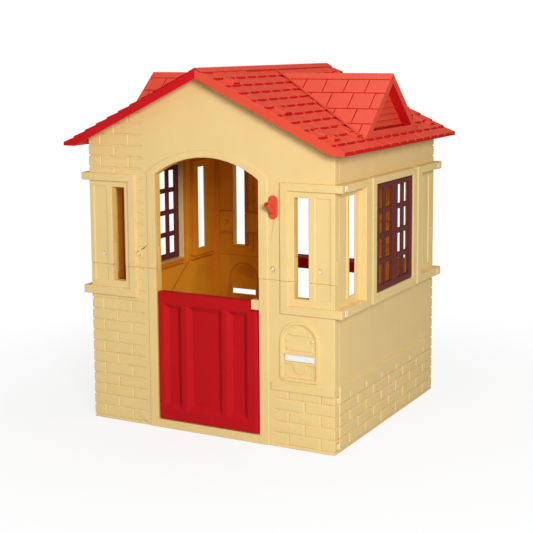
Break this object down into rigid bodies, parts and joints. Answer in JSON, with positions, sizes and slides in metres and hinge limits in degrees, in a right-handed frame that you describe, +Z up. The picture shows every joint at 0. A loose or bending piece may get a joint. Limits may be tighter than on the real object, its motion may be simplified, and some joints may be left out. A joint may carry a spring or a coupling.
{
  "type": "toy playhouse",
  "caption": "Child's moulded plastic playhouse with brick-pattern walls, arched doorways, a half door, barred window leaves, a shingled gable roof and false dormers.",
  "frame": {"origin": "on the ground, at the centre of the house", "axes": "+Z up, the front wall with the half door faces -Y, +X is to the right seen from the front"},
  "size_m": [1.016, 0.948, 1.183],
  "materials": {
    "cream_plastic": "satin",
    "roof_red_plastic": "satin",
    "door_red_plastic": "gloss",
    "brown_plastic": "satin",
    "zinc_steel": "zinc plated",
    "painted_steel": "satin"
  },
  "bodies": {
    "house": {"front_wall_lower": "cream_plastic", "front_wall_upper": "cream_plastic", "back_wall_lower": "cream_plastic", "back_wall_upper": "cream_plastic", "side_wall_right": "cream_plastic", "side_wall_left": "cream_plastic", "roof_panel_right": "roof_red_plastic", "roof_panel_left": "roof_red_plastic", "dormer_right": "roof_red_plastic", "dormer_left": "roof_red_plastic", "flag_holder": "roof_red_plastic", "rear_counter": "door_red_plastic", "door_pin_upper": "zinc_steel", "door_pin_lower": "zinc_steel", "wall_screw_front_1": "painted_steel", "wall_screw_front_2": "painted_steel", "wall_screw_front_3": "painted_steel", "wall_screw_front_4": "painted_steel", "wall_screw_back_1": "painted_steel", "wall_screw_back_2": "painted_steel", "wall_screw_back_3": "painted_steel", "wall_screw_back_4": "painted_steel", "roof_screw_right_1": "zinc_steel", "roof_screw_right_2": "zinc_steel", "roof_screw_right_3": "zinc_steel", "roof_screw_right_4": "zinc_steel", "roof_screw_right_5": "zinc_steel", "roof_screw_right_6": "zinc_steel", "roof_screw_right_7": "zinc_steel", "roof_screw_right_8": "zinc_steel", "roof_screw_left_1": "zinc_steel", "roof_screw_left_2": "zinc_steel", "roof_screw_left_3": "zinc_steel", "roof_screw_left_4": "zinc_steel", "roof_screw_left_5": "zinc_steel", "roof_screw_left_6": "zinc_steel", "roof_screw_left_7": "zinc_steel", "roof_screw_left_8": "zinc_steel", "dormer_screw_right_1": "zinc_steel", "dormer_screw_right_2": "zinc_steel", "dormer_screw_left_1": "zinc_steel", "dormer_screw_left_2": "zinc_steel", "counter_screw_1": "zinc_steel", "counter_screw_2": "zinc_steel"},
    "door": {"front_door": "door_red_plastic"},
    "leaf_right_front": {"window_leaf_right_front": "brown_plastic"},
    "leaf_right_rear": {"window_leaf_right_rear": "brown_plastic"},
    "leaf_left_front": {"window_leaf_left_front": "brown_plastic"},
    "leaf_left_rear": {"window_leaf_left_rear": "brown_plastic"}
  },
  "joints": [
    {"name": "door_hinge", "type": "hinge", "parent": "house", "child": "door", "pos_m": [0.172, -0.406, 0.245], "axis": [0, 0, 1], "range_deg": [0, 95]},
    {"name": "leaf_right_front_hinge", "type": "hinge", "parent": "house", "child": "leaf_right_front", "pos_m": [0.4675, -0.1475, 0.637], "axis": [0, 0, -1], "range_deg": [0, 95]},
    {"name": "leaf_right_rear_hinge", "type": "hinge", "parent": "house", "child": "leaf_right_rear", "pos_m": [0.4675, 0.1475, 0.637], "axis": [0, 0, 1], "range_deg": [0, 95]},
    {"name": "leaf_left_front_hinge", "type": "hinge", "parent": "house", "child": "leaf_left_front", "pos_m": [-0.4675, -0.1475, 0.637], "axis": [0, 0, 1], "range_deg": [0, 95]},
    {"name": "leaf_left_rear_hinge", "type": "hinge", "parent": "house", "child": "leaf_left_rear", "pos_m": [-0.4675, 0.1475, 0.637], "axis": [0, 0, -1], "range_deg": [0, 95]}
  ]
}
